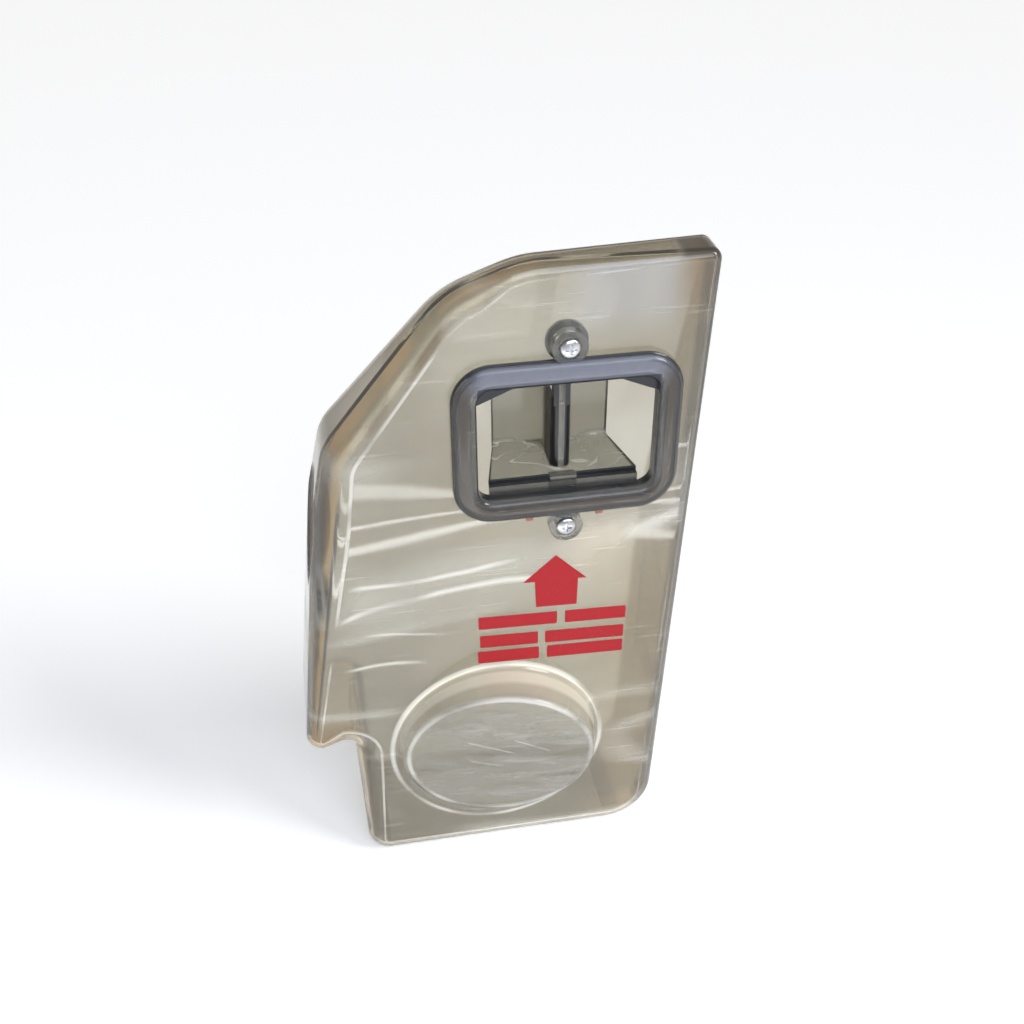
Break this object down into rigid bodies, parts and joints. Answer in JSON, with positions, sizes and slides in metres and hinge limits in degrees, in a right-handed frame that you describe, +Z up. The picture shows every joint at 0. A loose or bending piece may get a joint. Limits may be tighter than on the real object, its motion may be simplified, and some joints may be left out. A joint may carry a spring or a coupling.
{
  "type": "dirty water tank",
  "caption": "Clear blow moulded waste water tank with a screwed-on smoked pour spout frame, splash baffle, side step, finger recess and round slanting boss.",
  "frame": {"origin": "on the ground, under the middle of the tank's bounding box", "axes": "+Z up, -Y out of the spout side, +X to the right when the spout side is seen from the front"},
  "size_m": [0.2102, 0.0938, 0.3668],
  "materials": {
    "clear_tank": "clear, aged to a pale beige, glossy with fine scuffs",
    "smoked_frame": "smoke grey, glossy, half see-through",
    "red_rubber": "dull brick red",
    "smoked_baffle": "light smoke grey, see-through, dark at its edges",
    "zinc_screw": "bright zinc plating"
  },
  "bodies": {
    "root": {"tank_shell": "clear_tank", "spout_frame": "smoked_frame", "spout_seal": "red_rubber", "spout_baffle": "smoked_baffle", "upper_screw": "zinc_screw", "lower_screw": "zinc_screw"}
  },
  "joints": []
}
